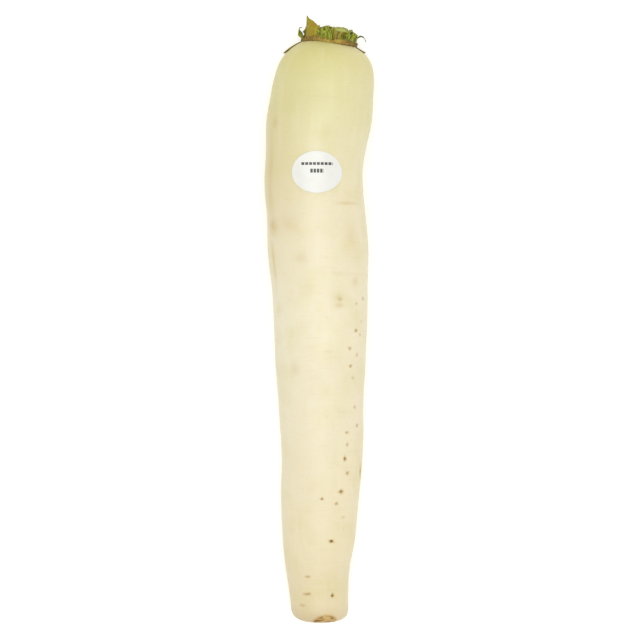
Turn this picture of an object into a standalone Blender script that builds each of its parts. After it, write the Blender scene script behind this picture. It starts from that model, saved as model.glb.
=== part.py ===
"""A daikon radish (mooli), as picked and trimmed, lying on its side on a flat surface.

The root is one grown piece: a long white taproot with a domed crown at +Y and a blunt, trimmed tail
at -Y. What is left of its leaves stands on the crown: rings of cut leaf stalks round a small heart,
crinkled scraps of leaf blade, a low collar of dried sheaths round them all, dried scales folded down
over the shoulder, and two loose shreds. A paper label is stuck on top.

Metres, +Z up. The origin is on the surface that the radish lies on, under the middle of its box.
"""

import math

import bmesh
import bpy
from mathutils import Vector

MM = 0.001

# The root. Distances along it are measured from the tail end.
ROOT_LENGTH = 350.0 * MM
TAIL_Y = -181.7 * MM
AXIS_X = -0.3 * MM
DOME_DEPTH = 28.0 * MM
TAIL_ROUNDING = 9.0 * MM
TAIL_POWER = 3.0
HEIGHT_RATIO = 0.965
REST_FLAT_DEPTH = 0.5 * MM

# The outline seen from above: distance from the tail, half width, sideways offset of the middle.
OUTLINE_MM = (
    (0, 17.0, 0.9),
    (12, 17.7, 0.0),
    (32, 19.6, -0.9),
    (50, 21.8, 0.0),
    (70, 22.9, 0.9),
    (105, 24.6, 1.4),
    (140, 26.1, 1.3),
    (175, 27.8, 0.9),
    (212, 29.3, 0.0),
    (240, 30.0, -1.4),
    (266, 29.3, -3.1),
    (285, 30.2, -1.8),
    (302, 31.2, 0.3),
    (320, 30.6, 2.3),
    (330, 30.3, 3.3),
    (340, 31.4, 3.5),
    (350, 31.4, 1.8),
)

# How far the underside stands clear of the surface: distance from the tail, clearance.
CLEARANCE_MM = (
    (0, 4.0),
    (25, 1.6),
    (55, 0.0),
    (150, 0.0),
    (230, 0.5),
    (266, 1.2),
    (292, 0.0),
    (315, 0.0),
    (350, 2.5),
)

# The crown: where the leaf stalks stand on the dome, and how far their common axis leans towards +X.
CROWN_OFFSET = 4.8 * MM
CROWN_LEAN = math.radians(9)
SEAT_GAP = 0.4 * MM
SOFT_EDGE = 0.35 * MM

# Each stalk: bearing round the crown axis (0 is +X, 90 is up), half span, height of its cut.
OUTER_RADIUS = 12.2 * MM
OUTER_HALF_THICKNESS = 1.5 * MM
OUTER_FLARE = 0.5 * MM
OUTER_STALKS = (
    (102.0, 11.5, 4.2),
    (62.5, 25.0, 4.5),
    (10.0, 25.0, 5.3),
    (-42.0, 24.5, 5.3),
    (-93.0, 24.0, 6.0),
    (-146.0, 26.5, 5.5),
)
TORN_STALK = (144.0, 27.0, 4.6)
TORN_TIP_RISE = 6.6 * MM
TORN_TIP_POWER = 1.4
TORN_FLARE = 4.0 * MM
INNER_RADIUS = 8.0 * MM
INNER_HALF_THICKNESS = 1.35 * MM
INNER_FLARE = 0.4 * MM
INNER_STALKS = (
    (108.0, 32.0, 4.6),
    (36.0, 33.0, 4.8),
    (-36.0, 31.5, 5.8),
    (-108.0, 33.0, 6.2),
    (180.0, 32.0, 5.9),
)
CORE_RADIUS = 4.3 * MM
CORE_HALF_THICKNESS = 1.1 * MM
CORE_STALKS = (
    (60.0, 50.0, 5.6),
    (-60.0, 50.0, 5.2),
    (180.0, 50.0, 5.9),
)
CUT_SLOPE = 0.7 * MM
HEART_RADIUS = 2.2 * MM
HEART_HEIGHT = 5.0 * MM

# Crinkled scraps of leaf blade against the outside of the stalks: bearing, half span, height.
FRILL_RADIUS = 14.9 * MM
FRILL_THICKNESS = 0.5 * MM
FRILL_RUFFLE = 0.55 * MM
FRILL_SAG = 0.3
FRILL_WAVES = 3
FRILLS = ((101.0, 13.0, 4.6), (24.0, 27.0, 4.9), (-80.0, 24.0, 5.4), (-152.0, 18.0, 5.0))

# The dried sheaths that make the collar: bearing, half span, height above the dome.
SHEATH_RADIUS = 16.2 * MM
SHEATH_THICKNESS = 0.5 * MM
SHEATH_SAG = 0.25
SHEATHS = (
    (127.0, 34.6, 3.0),
    (55.0, 34.6, 2.3),
    (-17.0, 34.6, 3.2),
    (-89.0, 34.6, 2.6),
    (-161.0, 34.6, 2.9),
)

# Dried scales folded down over the shoulder: bearing round the root, half width, where they start and
# end (as angles down the dome from its apex), tip lift.
SCALE_THICKNESS = 0.5 * MM
SCALE_CLEARANCE = 0.5 * MM
SCALES = (
    (169.0, 3.2, 24.5, 49.5, 0.7),
    (11.0, 2.8, 41.5, 49.5, 0.7),
    (-64.0, 3.4, 40.0, 56.0, 0.8),
    (-126.0, 3.2, 30.0, 50.0, 0.8),
)

# Two loose shreds of leaf: points across, up and along the crown axis.
SHRED_RADIUS = 0.55 * MM
LEFT_SHRED_MM = ((-17.6, 2.6, -2.4), (-18.7, 3.0, -1.4), (-19.2, 3.2, 0.4), (-18.5, 3.0, 2.0), (-17.2, 2.8, 2.4))
RIGHT_SHRED_MM = ((17.2, 2.0, 4.0), (18.4, 2.2, 5.2), (19.8, 2.4, 4.8), (20.8, 2.2, 3.6), (22.0, 1.8, 1.9))

# The oval paper label, on top of the root.
LABEL_FROM_TAIL = 268.5 * MM
LABEL_X = -1.6 * MM
LABEL_HALF_WIDTH = 14.6 * MM
LABEL_HALF_LENGTH = 12.6 * MM
LABEL_THICKNESS = 0.3 * MM
LABEL_GAP = 0.3 * MM


def clear_scene():
    for old in list(bpy.data.objects):
        bpy.data.objects.remove(old)


def through(stations, at):
    """A smooth curve through (place, value) pairs: cubic Hermite, with slopes from the neighbours."""
    places = [p for p, _ in stations]
    values = [v for _, v in stations]
    at = min(max(at, places[0]), places[-1])
    last = len(places) - 1
    i = min(sum(p <= at for p in places) - 1, last - 1)

    def slope(k):
        before, after = max(k - 1, 0), min(k + 1, last)
        return (values[after] - values[before]) / (places[after] - places[before])

    span = places[i + 1] - places[i]
    t = (at - places[i]) / span
    rise = values[i + 1] - values[i]
    start, end = slope(i) * span, slope(i + 1) * span
    return values[i] + start * t + (3 * rise - 2 * start - end) * t**2 + (start + end - 2 * rise) * t**3


HALF_WIDTHS = [(s * MM, w * MM) for s, w, _ in OUTLINE_MM]
OFFSETS = [(s * MM, x * MM) for s, _, x in OUTLINE_MM]
CLEARANCES = [(s * MM, c * MM) for s, c in CLEARANCE_MM]


def closing(s):
    """The share of its full width that the root has at s: it closes in a dome and in a blunt tail."""
    from_crown = min(max(ROOT_LENGTH - s, 0), DOME_DEPTH)
    from_tail = min(max(s, 0), TAIL_ROUNDING)
    dome = math.sqrt(1 - (1 - from_crown / DOME_DEPTH) ** 2)
    tail = (1 - (1 - from_tail / TAIL_ROUNDING) ** TAIL_POWER) ** (1 / TAIL_POWER)
    return dome * tail


def middle(s):
    """X and Z of the root's middle line at s."""
    half_height = HEIGHT_RATIO * through(HALF_WIDTHS, s)
    return AXIS_X + through(OFFSETS, s), half_height - REST_FLAT_DEPTH + max(through(CLEARANCES, s), 0)


def on_root(s, bearing):
    """The point of the root's surface at s, at this bearing round it (0 is +X, 90 degrees is up)."""
    x, z = middle(s)
    half_width = through(HALF_WIDTHS, s) * closing(s)
    return Vector(
        (
            x + half_width * math.cos(bearing),
            TAIL_Y + s,
            max(z + HEIGHT_RATIO * half_width * math.sin(bearing), 0),
        )
    )


def root_normal(s, bearing):
    """The outward direction of the root's surface there."""
    step = 0.1 * MM
    along = on_root(s + step, bearing) - on_root(s - step, bearing)
    around = on_root(s, bearing + 0.01) - on_root(s, bearing - 0.01)
    return around.cross(along).normalized() * -1


def inside_root(point):
    s = point.y - TAIL_Y
    if not 0 < s < ROOT_LENGTH:
        return False
    x, z = middle(s)
    half_width = through(HALF_WIDTHS, s) * closing(s)
    across = (point.x - x) / half_width
    up = (point.z - z) / (HEIGHT_RATIO * half_width)
    return across**2 + up**2 < 1


def crown_origin():
    """Where the crown's axis leaves the dome."""
    apex_x, apex_z = middle(ROOT_LENGTH)
    width = through(HALF_WIDTHS, ROOT_LENGTH)
    drop = DOME_DEPTH * (1 - math.sqrt(1 - (CROWN_OFFSET / width) ** 2))
    return Vector((apex_x + CROWN_OFFSET, TAIL_Y + ROOT_LENGTH - drop, apex_z))


CROWN = crown_origin()
CROWN_ALONG = Vector((math.sin(CROWN_LEAN), math.cos(CROWN_LEAN), 0))
CROWN_ACROSS = Vector((math.cos(CROWN_LEAN), -math.sin(CROWN_LEAN), 0))
CROWN_UP = Vector((0, 0, 1))


def in_crown(across, up, along):
    """A point given in the crown's own directions."""
    return CROWN + CROWN_ACROSS * across + CROWN_UP * up + CROWN_ALONG * along


def seat(across, up):
    """How far along the crown's axis the root's surface lies there, by halving the interval."""
    low, high = -30 * MM, 10 * MM
    for _ in range(30):
        half = (low + high) / 2
        if inside_root(in_crown(across, up, half)):
            low = half
        else:
            high = half
    return high


def material(name, rgb, roughness):
    made = bpy.data.materials.new(name)
    made.use_nodes = True
    shader = made.node_tree.nodes["Principled BSDF"]
    shader.inputs["Base Color"].default_value = (*rgb, 1)
    shader.inputs["Roughness"].default_value = roughness
    shader.inputs["Metallic"].default_value = 0
    return made


def place(name, bm, finish, collection):
    """Makes the named object of a bmesh. A closed one has its faces turned outwards."""
    if bm.calc_volume(signed=True) < 0:
        bmesh.ops.reverse_faces(bm, faces=bm.faces)
    mesh = bpy.data.meshes.new(name)
    bm.to_mesh(mesh)
    bm.free()
    mesh.shade_smooth()
    mesh.set_sharp_from_angle(angle=math.radians(40))
    mesh.materials.append(finish)
    made = bpy.data.objects.new(name, mesh)
    collection.objects.link(made)
    return made


def thicken(made, thickness):
    """Gives an open surface its thickness, on the side its faces point to."""
    solid = made.modifiers.new("thickness", "SOLIDIFY")
    solid.thickness = thickness
    solid.offset = 1


def make_root(finish, collection):
    """A sphere drawn out along Y, each of its rings set to the root's section there."""
    bm = bmesh.new()
    bmesh.ops.create_uvsphere(bm, u_segments=36, v_segments=44, radius=1)
    for vertex in bm.verts:
        s = ROOT_LENGTH * (1 + vertex.co.z) / 2
        vertex.co = on_root(s, math.atan2(vertex.co.y, vertex.co.x))
    return place("taproot", bm, finish, collection)


def make_label(finish, collection):
    """A square grid rounded to an oval and laid over the root, a little clear of its skin."""
    bm = bmesh.new()
    bmesh.ops.create_grid(bm, x_segments=10, y_segments=10, size=1)
    for vertex in bm.verts:
        u, v = vertex.co.x, vertex.co.y
        across = LABEL_X + LABEL_HALF_WIDTH * u * math.sqrt(1 - v * v / 2)
        s = LABEL_FROM_TAIL + LABEL_HALF_LENGTH * v * math.sqrt(1 - u * u / 2)
        bearing = math.acos((across - middle(s)[0]) / through(HALF_WIDTHS, s))
        vertex.co = on_root(s, bearing) + root_normal(s, bearing) * LABEL_GAP
    made = place("label", bm, finish, collection)
    turn_outwards(made, CROWN_UP)
    thicken(made, LABEL_THICKNESS)
    return made


def turn_outwards(made, direction):
    """Turns an open surface's faces so that they point this way."""
    total = Vector((0, 0, 0))
    for face in made.data.polygons:
        total += face.normal * face.area
    if total.dot(direction) < 0:
        made.data.flip_normals()


def make_stalk(name, row, radius, half_thickness, flare, finish, collection, tip_rise=0.0):
    """The stump of one leaf stalk: a block bent round the crown, thick in the middle and thin at its
    two wings, seated on the dome and cut off at the top on a slope that faces outwards."""
    bearing, half_span, cut = math.radians(row[0]), math.radians(row[1]), row[2] * MM
    bm = bmesh.new()
    bmesh.ops.create_cube(bm, size=2)
    wide = [e for e in bm.edges if abs(e.verts[0].co.x - e.verts[1].co.x) > 1]
    bmesh.ops.subdivide_edges(bm, edges=wide, cuts=5, use_grid_fill=True)
    tall = [e for e in bm.edges if abs(e.verts[0].co.z - e.verts[1].co.z) > 1]
    bmesh.ops.subdivide_edges(bm, edges=tall, cuts=1, use_grid_fill=True)
    for vertex in bm.verts:
        u, v, w = vertex.co.x, vertex.co.y, (vertex.co.z + 1) / 2
        angle = bearing + u * half_span
        lean = flare * (1 + u) / 2 if tip_rise else flare
        rho = radius + v * half_thickness * (1 - 0.6 * u * u) + lean * w
        across, up = rho * math.cos(angle), rho * math.sin(angle)
        foot = seat(across, up) + SEAT_GAP
        top = cut - CUT_SLOPE * v + tip_rise * ((1 + u) / 2) ** TORN_TIP_POWER
        vertex.co = in_crown(across, up, foot + w * (top - foot))
    made = place(name, bm, finish, collection)
    soften(made)
    return made


def soften(made):
    """Rounds the edges of a cut piece."""
    bevel = made.modifiers.new("soft edges", "BEVEL")
    bevel.width = SOFT_EDGE
    bevel.segments = 1
    bevel.limit_method = "ANGLE"
    bevel.angle_limit = math.radians(50)


def make_heart(finish, collection):
    """The growing point in the middle of the stalks: a short blunt cone."""
    bm = bmesh.new()
    bmesh.ops.create_cone(
        bm, cap_ends=True, segments=16, radius1=HEART_RADIUS, radius2=0.55 * HEART_RADIUS, depth=2
    )
    for vertex in bm.verts:
        across, up, top = vertex.co.x, vertex.co.y, vertex.co.z > 0
        along = HEART_HEIGHT if top else seat(across, up) + SEAT_GAP
        vertex.co = in_crown(across, up, along)
    made = place("heart_bud", bm, finish, collection)
    soften(made)
    return made


def make_frill(name, row, finish, collection):
    """A scrap of crinkled leaf blade: a strip that waves in and out as it goes round the stalks."""
    bearing, half_span, height = math.radians(row[0]), math.radians(row[1]), row[2] * MM
    bm = bmesh.new()
    bmesh.ops.create_grid(bm, x_segments=20, y_segments=3, size=1)
    for vertex in bm.verts:
        u, w = vertex.co.x, (vertex.co.y + 1) / 2
        angle = bearing + u * half_span
        rho = FRILL_RADIUS + FRILL_RUFFLE * w * (1 + math.sin(FRILL_WAVES * math.pi * u))
        across, up = rho * math.cos(angle), rho * math.sin(angle)
        foot = seat(across, up) + 2 * SEAT_GAP
        top = height * (1 - FRILL_SAG * u * u)
        vertex.co = in_crown(across, up, foot + w * (top - foot))
    made = place(name, bm, finish, collection)
    turn_outwards(made, CROWN_ACROSS * math.cos(bearing) + CROWN_UP * math.sin(bearing))
    thicken(made, FRILL_THICKNESS)
    return made


def make_sheath(name, row, finish, collection):
    """A dried leaf sheath: a low strip bent round the foot of the stalks, lower at its ends."""
    bearing, half_span, height = math.radians(row[0]), math.radians(row[1]), row[2] * MM
    bm = bmesh.new()
    bmesh.ops.create_grid(bm, x_segments=12, y_segments=2, size=1)
    for vertex in bm.verts:
        u, w = vertex.co.x, (vertex.co.y + 1) / 2
        angle = bearing + u * half_span
        across, up = SHEATH_RADIUS * math.cos(angle), SHEATH_RADIUS * math.sin(angle)
        foot = seat(across, up) + SEAT_GAP
        vertex.co = in_crown(across, up, foot + w * height * (1 - SHEATH_SAG * u * u))
    made = place(name, bm, finish, collection)
    turn_outwards(made, CROWN_ACROSS * math.cos(bearing) + CROWN_UP * math.sin(bearing))
    thicken(made, SHEATH_THICKNESS)
    return made


def make_scale(name, row, finish, collection):
    """A dried leaf scale: a pointed strip that follows the dome down, its tip standing off a little."""
    bearing, half_width = math.radians(row[0]), row[1] * MM
    start, end, tip_lift = math.radians(row[2]), math.radians(row[3]), row[4] * MM
    bm = bmesh.new()
    bmesh.ops.create_grid(bm, x_segments=4, y_segments=8, size=1)
    for vertex in bm.verts:
        u, w = vertex.co.x, (vertex.co.y + 1) / 2
        s = ROOT_LENGTH - DOME_DEPTH * (1 - math.cos(start + w * (end - start)))
        width = half_width * (1 - 0.85 * w**1.5)
        angle = bearing + u * width / (through(HALF_WIDTHS, s) * closing(s))
        vertex.co = on_root(s, angle) + root_normal(s, angle) * (SCALE_CLEARANCE + tip_lift * w * w)
    made = place(name, bm, finish, collection)
    half_way = ROOT_LENGTH - DOME_DEPTH * (1 - math.cos((start + end) / 2))
    turn_outwards(made, root_normal(half_way, bearing))
    thicken(made, SCALE_THICKNESS)
    return made


def make_shred(name, points, finish, collection):
    """A loose shred of leaf, drawn as a thin tube that narrows to its tip."""
    curve = bpy.data.curves.new(name, "CURVE")
    curve.dimensions = "3D"
    curve.bevel_depth = SHRED_RADIUS
    curve.bevel_resolution = 1
    curve.resolution_u = 4
    curve.use_fill_caps = True
    spline = curve.splines.new("BEZIER")
    spline.bezier_points.add(len(points) - 1)
    for i, (knot, at) in enumerate(zip(spline.bezier_points, points)):
        knot.co = in_crown(*(x * MM for x in at))
        knot.handle_left_type = knot.handle_right_type = "AUTO"
        knot.radius = 1 - 0.6 * i / (len(points) - 1)
    curve.materials.append(finish)
    made = bpy.data.objects.new(name, curve)
    collection.objects.link(made)
    return made


def main():
    clear_scene()
    radish = bpy.data.collections.new("daikon radish")
    bpy.context.scene.collection.children.link(radish)
    skin = material("root skin", (0.88, 0.82, 0.58), 0.5)
    paper = material("label paper", (0.9, 0.91, 0.86), 0.55)
    green = material("cut stalk", (0.38, 0.36, 0.07), 0.6)
    leaf = material("leaf blade", (0.2, 0.28, 0.03), 0.6)
    dry = material("dried scale", (0.3, 0.2, 0.05), 0.75)

    make_root(skin, radish)
    make_label(paper, radish)
    rings = (
        ("outer", OUTER_STALKS, OUTER_RADIUS, OUTER_HALF_THICKNESS, OUTER_FLARE),
        ("inner", INNER_STALKS, INNER_RADIUS, INNER_HALF_THICKNESS, INNER_FLARE),
        ("core", CORE_STALKS, CORE_RADIUS, CORE_HALF_THICKNESS, 0.0),
    )
    for ring, rows, radius, half_thickness, flare in rings:
        for i, row in enumerate(rows, 1):
            make_stalk(f"{ring}_stalk_{i}", row, radius, half_thickness, flare, green, radish)
    make_stalk(
        "torn_stalk",
        TORN_STALK,
        OUTER_RADIUS,
        OUTER_HALF_THICKNESS,
        TORN_FLARE,
        green,
        radish,
        tip_rise=TORN_TIP_RISE,
    )
    make_heart(green, radish)
    for i, row in enumerate(FRILLS, 1):
        make_frill(f"leaf_frill_{i}", row, leaf, radish)
    for i, row in enumerate(SHEATHS, 1):
        make_sheath(f"dry_sheath_{i}", row, dry, radish)
    for i, row in enumerate(SCALES, 1):
        make_scale(f"dry_scale_{i}", row, dry, radish)
    make_shred("leaf_shred_left", LEFT_SHRED_MM, leaf, radish)
    make_shred("leaf_shred_right", RIGHT_SHRED_MM, leaf, radish)


main()
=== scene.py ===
import bpy
import numpy as np
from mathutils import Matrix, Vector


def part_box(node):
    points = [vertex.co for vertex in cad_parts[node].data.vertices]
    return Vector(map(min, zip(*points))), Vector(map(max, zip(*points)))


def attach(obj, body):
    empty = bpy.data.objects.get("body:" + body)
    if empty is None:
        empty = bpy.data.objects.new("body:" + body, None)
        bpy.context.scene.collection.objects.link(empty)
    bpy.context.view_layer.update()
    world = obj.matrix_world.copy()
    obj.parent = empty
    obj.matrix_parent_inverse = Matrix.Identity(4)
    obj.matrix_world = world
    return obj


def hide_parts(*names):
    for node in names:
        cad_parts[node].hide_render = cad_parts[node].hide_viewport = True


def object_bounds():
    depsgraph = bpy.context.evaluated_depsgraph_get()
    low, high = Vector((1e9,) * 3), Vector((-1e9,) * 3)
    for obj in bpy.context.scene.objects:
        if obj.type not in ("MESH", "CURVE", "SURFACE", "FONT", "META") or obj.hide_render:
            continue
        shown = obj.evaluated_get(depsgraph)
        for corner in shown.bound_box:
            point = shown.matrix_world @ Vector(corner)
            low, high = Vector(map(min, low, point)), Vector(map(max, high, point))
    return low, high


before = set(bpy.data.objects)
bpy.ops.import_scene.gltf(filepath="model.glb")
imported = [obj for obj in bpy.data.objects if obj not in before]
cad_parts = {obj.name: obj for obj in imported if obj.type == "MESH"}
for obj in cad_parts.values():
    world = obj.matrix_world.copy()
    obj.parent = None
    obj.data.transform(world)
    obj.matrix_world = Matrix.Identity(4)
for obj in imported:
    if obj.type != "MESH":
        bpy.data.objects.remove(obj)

cad_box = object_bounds()

# ---------------------------------------------------------------------------------------- the root
# One grown taproot: crisp, faintly translucent white flesh under a thin, smooth, slightly waxy skin.
# It was pulled and washed, so it keeps shallow ring creases, the pits of its side rootlets in rows
# down two opposite sides, some rubbed tan patches, and a dried brown scar where the tail was cut.
MM = 0.001
SKIN_RINGS = 530
SKIN_COLUMNS = 180
CROWDING = 0.42
CROWDED_BEARING = np.radians(62)
LUMP_COUNT = 16
LUMP_HEIGHT = 0.32 * MM
LUMP_LENGTHS_MM = (34, 120)
CREASE_COUNT = 46
CREASE_STRETCH_MM = (6, 340)
CREASE_DEPTHS_MM = (0.03, 0.1)
CREASE_HALF_WIDTH_MM = 0.8
PIT_DEPTH_MM = 0.4
PIT_RIM_MM = 0.3
STAIN_RIM_MM = 0.7

# Colours down the root, cream with a green shoulder: distance from the tail in mm, sRGB.
SKIN_COLOURS = (
    (0, "C4B088"),
    (12, "D6C8A4"),
    (45, "DCD0AE"),
    (120, "DFD6B9"),
    (185, "E0D8BC"),
    (250, "DDD4B5"),
    (295, "D6D0A5"),
    (325, "D0CA93"),
    (350, "C8BF76"),
)
# The left flank is tanned over a stretch beside the label: its middle and half length in mm, its colour
# and strength. The right flank is a little paler all the way. Each is at full strength from where the
# cosine of the bearing reaches FLANK on its own side.
FLANK = 0.76
TAN_MIDDLE = 275.0
TAN_HALF_LENGTH = 45.0
TAN_COLOUR = "BEA45A"
TAN_STRENGTH = 0.26
PALE_COLOUR = "ECDEB8"
PALE_STRENGTH = 0.25

# The pits that the side rootlets left: distance from the tail, distance right of the frame's middle,
# width round the root, length along it, darkness.
ROOTLET_PITS_MM = (
    (194.5, 26.0, 1.4, 1.6, 0.5),
    (194.0, 12.5, 1.1, 1.1, 0.35),
    (191.5, 22.0, 1.1, 1.1, 0.4),
    (181.0, 24.5, 1.1, 1.1, 0.3),
    (175.5, 21.0, 1.4, 1.6, 0.65),
    (173.0, 23.5, 1.1, 1.1, 0.5),
    (165.0, 17.5, 1.1, 1.4, 0.6),
    (161.0, 22.0, 1.4, 1.6, 0.45),
    (154.5, 18.5, 1.2, 1.2, 0.8),
    (147.5, 20.0, 1.9, 1.1, 0.3),
    (130.0, 21.0, 1.1, 1.4, 0.55),
    (119.0, 22.5, 1.6, 1.6, 0.5),
    (115.0, 16.5, 1.6, 1.1, 0.6),
    (108.0, 17.0, 1.4, 1.6, 0.5),
    (99.5, 15.5, 1.6, 1.9, 0.95),
    (91.0, 24.0, 1.1, 3.2, 0.75),
    (91.0, 16.5, 1.6, 1.4, 0.7),
    (80.0, 12.5, 2.2, 2.2, 0.75),
    (76.0, 1.5, 1.1, 1.1, 0.7),
    (73.0, 10.0, 1.2, 1.1, 0.6),
    (64.5, 14.0, 1.9, 1.1, 0.3),
    (50.5, 7.0, 2.4, 1.4, 0.95),
    (29.0, -7.0, 3.0, 0.7, 0.5),
    (18.5, -8.0, 4.0, 0.8, 0.55),
    (18.5, -6.5, 1.6, 1.0, 0.7),
    (17.5, 8.0, 1.4, 1.5, 1.0),
    (11.5, -10.0, 3.2, 0.9, 0.45),
)

# Seeded pits low down on the root's two sides: how many, and the bearing of each row in degrees.
STRAY_PITS = 34
RIGHT_ROW = -42
LEFT_ROW = 215

# The scar where the tail was cut: its middle, right of the frame's middle, up the root from the tail's
# end and above the root's axis, and its reach from there in the same three directions.
SCAR_MIDDLE_MM = (3.2, 0.5, 11.5)
SCAR_REACH_MM = (8.4, 7.0, 9.0)
SCAR_END = 1.05
SCAR_FADE = 0.3

# Rubbed and yellowed patches: distance from the tail, distance right of the middle, half length along
# the root, half width round it, strength.
RUBBED_PATCHES_MM = (
    (298.0, -26.5, 4.0, 3.0, 0.35),
    (277.0, -28.5, 7.0, 2.0, 0.4),
    (270.0, -29.5, 32.0, 3.5, 0.3),
    (250.5, 16.5, 0.9, 8.0, 0.4),
    (239.0, -18.0, 5.0, 6.0, 0.3),
    (237.0, -27.0, 5.0, 5.0, 0.75),
    (233.0, 19.0, 9.0, 6.0, 0.2),
    (218.5, -10.5, 3.5, 3.5, 0.3),
    (216.0, -27.0, 14.0, 1.6, 0.4),
    (209.0, 11.5, 1.5, 4.0, 0.25),
    (209.0, 20.0, 0.8, 14.0, 0.18),
    (204.5, 21.5, 3.0, 3.0, 0.45),
    (194.5, 11.5, 2.5, 3.0, 0.3),
    (190.5, 12.0, 1.5, 3.0, 0.35),
    (189.0, -24.0, 3.0, 3.0, 0.25),
    (154.0, -14.0, 3.5, 3.0, 0.25),
    (91.0, 24.0, 4.5, 2.2, 0.6),
)


def linear(srgb):
    """The linear colour of an sRGB hex value: a straight line near black, and a power curve above it."""
    value = np.array([int(srgb[i : i + 2], 16) / 255 for i in (0, 2, 4)])
    curved = ((value + 0.055) / 1.055) ** 2.4
    return np.where(value <= 0.04045, value / 12.92, curved)


def rgba(srgb):
    """The linear colour of an sRGB hex value, with nothing see-through."""
    return (*linear(srgb), 1.0)


def node_points(name):
    """The corners of a CAD node's mesh, one row of x, y, z each."""
    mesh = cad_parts[name].data
    flat = np.empty(3 * len(mesh.vertices))
    mesh.vertices.foreach_get("co", flat)
    return flat.reshape(-1, 3)


def cad_rings():
    """Y, middle X, top Z, half width and height of each ring of the CAD root, tail first. A ring is a
    run of corners at one Y, and a step of over 0.1 mm in Y starts the next."""
    points = node_points("taproot")
    points = points[np.argsort(points[:, 1])]
    starts = np.flatnonzero(np.diff(points[:, 1], prepend=-1.0) > 0.1 * MM)
    low = np.minimum.reduceat(points, starts)
    high = np.maximum.reduceat(points, starts)
    size = high - low
    return high[:, 1], (low[:, 0] + high[:, 0]) / 2, high[:, 2], size[:, 0] / 2, size[:, 2]


def smooth(values, sign, at):
    """A curve through the values at whole numbers: Catmull-Rom. Past each end it goes on as its own
    mirror image times sign, as a meridian does past a pole."""
    padded = np.concatenate([[sign * values[1]], values, [sign * values[-2]]])
    i = np.minimum(at.astype(int), len(values) - 2)
    t = at - i
    a, b, c, d = (padded[i + k] for k in range(4))
    return b + 0.5 * t * (c - a + t * (2 * a - 5 * b + 4 * c - d + t * (3 * (b - c) + d - a)))


ring_y, ring_x, ring_top, ring_half, ring_height = cad_rings()
HEIGHT_RATIO = float(np.max(ring_height[1:-1] / (2 * ring_half[1:-1])))
spine_at = np.linspace(0, len(ring_y) - 1, 4000)
spine_y = smooth(ring_y, 1, spine_at)
spine_x = smooth(ring_x, 1, spine_at)
spine_half = np.maximum(smooth(ring_half, -1, spine_at), 0)
spine_z = smooth(ring_top - HEIGHT_RATIO * ring_half, 1, spine_at)
TAIL_Y = float(spine_y[0])
CROWN_Y = float(spine_y[-1])
WIDEST = float(spine_half.max())


def on_spine(values, y):
    """A value of the spine at this Y, in a straight line between its neighbours."""
    return np.interp(y, spine_y, values)


lumps = np.random.default_rng(11)
lump_waves = 2 * np.pi / lumps.uniform(*LUMP_LENGTHS_MM, LUMP_COUNT)
lump_turns = lumps.integers(-3, 4, LUMP_COUNT)
lump_phases = lumps.uniform(0, 2 * np.pi, LUMP_COUNT)
crease_at = np.sort(lumps.uniform(*CREASE_STRETCH_MM, CREASE_COUNT))
crease_bearing = lumps.uniform(-np.pi, np.pi, CREASE_COUNT)
crease_reach = lumps.uniform(0.35, 1.5, CREASE_COUNT)
crease_depth = lumps.uniform(*CREASE_DEPTHS_MM, CREASE_COUNT)
crease_tilt = lumps.uniform(-1.6, 1.6, CREASE_COUNT)


def turned(bearing, middle):
    """How far one bearing is past another, from -pi to pi."""
    return (bearing - middle + np.pi) % (2 * np.pi) - np.pi


def bearing_of(y, x):
    """The bearing, on the root's upper side, of the point of its skin with this X."""
    share = (x - on_spine(spine_x, y)) / on_spine(spine_half, y)
    return np.arccos(np.clip(share, -1, 1))


def all_pits():
    """Rows of distance from the tail in mm, bearing, width and length in mm and darkness: the pits
    listed, and seeded ones down the root's two sides where nothing is listed."""
    listed = np.array(ROOTLET_PITS_MM)
    listed[:, 1] = bearing_of(TAIL_Y + listed[:, 0] * MM, listed[:, 1] * MM)
    chance = np.random.default_rng(5)
    sides = np.where(np.arange(STRAY_PITS) % 2, LEFT_ROW, RIGHT_ROW)
    places = np.column_stack(
        [
            chance.uniform(14, 290, STRAY_PITS),
            np.radians(sides + chance.normal(0, 9, STRAY_PITS)),
            chance.uniform(1.1, 2.4, STRAY_PITS),
            chance.uniform(1.0, 1.8, STRAY_PITS),
            chance.uniform(0.25, 0.8, STRAY_PITS),
        ]
    )
    return np.concatenate([listed, places])


pits = all_pits()


def pits_at(along, bearing, spread):
    """How near the middle of a rootlet pit a point is, 0 to 1, and how dark that pit is. Each pit is a
    bell over distance round and along the root, its width and length drawn out by spread in mm."""
    near = np.zeros(np.broadcast(along, bearing).shape)
    dark = np.zeros_like(near)
    radius = on_spine(spine_half, TAIL_Y + along * MM) / MM
    for place, middle, width, length, darkness in pits:
        across = turned(bearing, middle) * radius / (0.5 * width + spread)
        down = (along - place) / (0.5 * length + 0.75 * spread)
        bell = np.exp(-(across**2) - down**2)
        dark = np.where(bell > near, darkness, dark)
        near = np.maximum(near, bell)
    return near, dark


def crease_depth_at(along, bearing):
    """Depth in mm of the ring creases: each a bell-shaped groove that fades out round the root."""
    depth = np.zeros(np.broadcast(along, bearing).shape)
    for i in range(CREASE_COUNT):
        round_it = turned(bearing, crease_bearing[i])
        groove = along - crease_at[i] - crease_tilt[i] * round_it
        across = -((groove / CREASE_HALF_WIDTH_MM) ** 2)
        depth += crease_depth[i] * np.exp(across - (round_it / crease_reach[i]) ** 2)
    return depth


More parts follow.
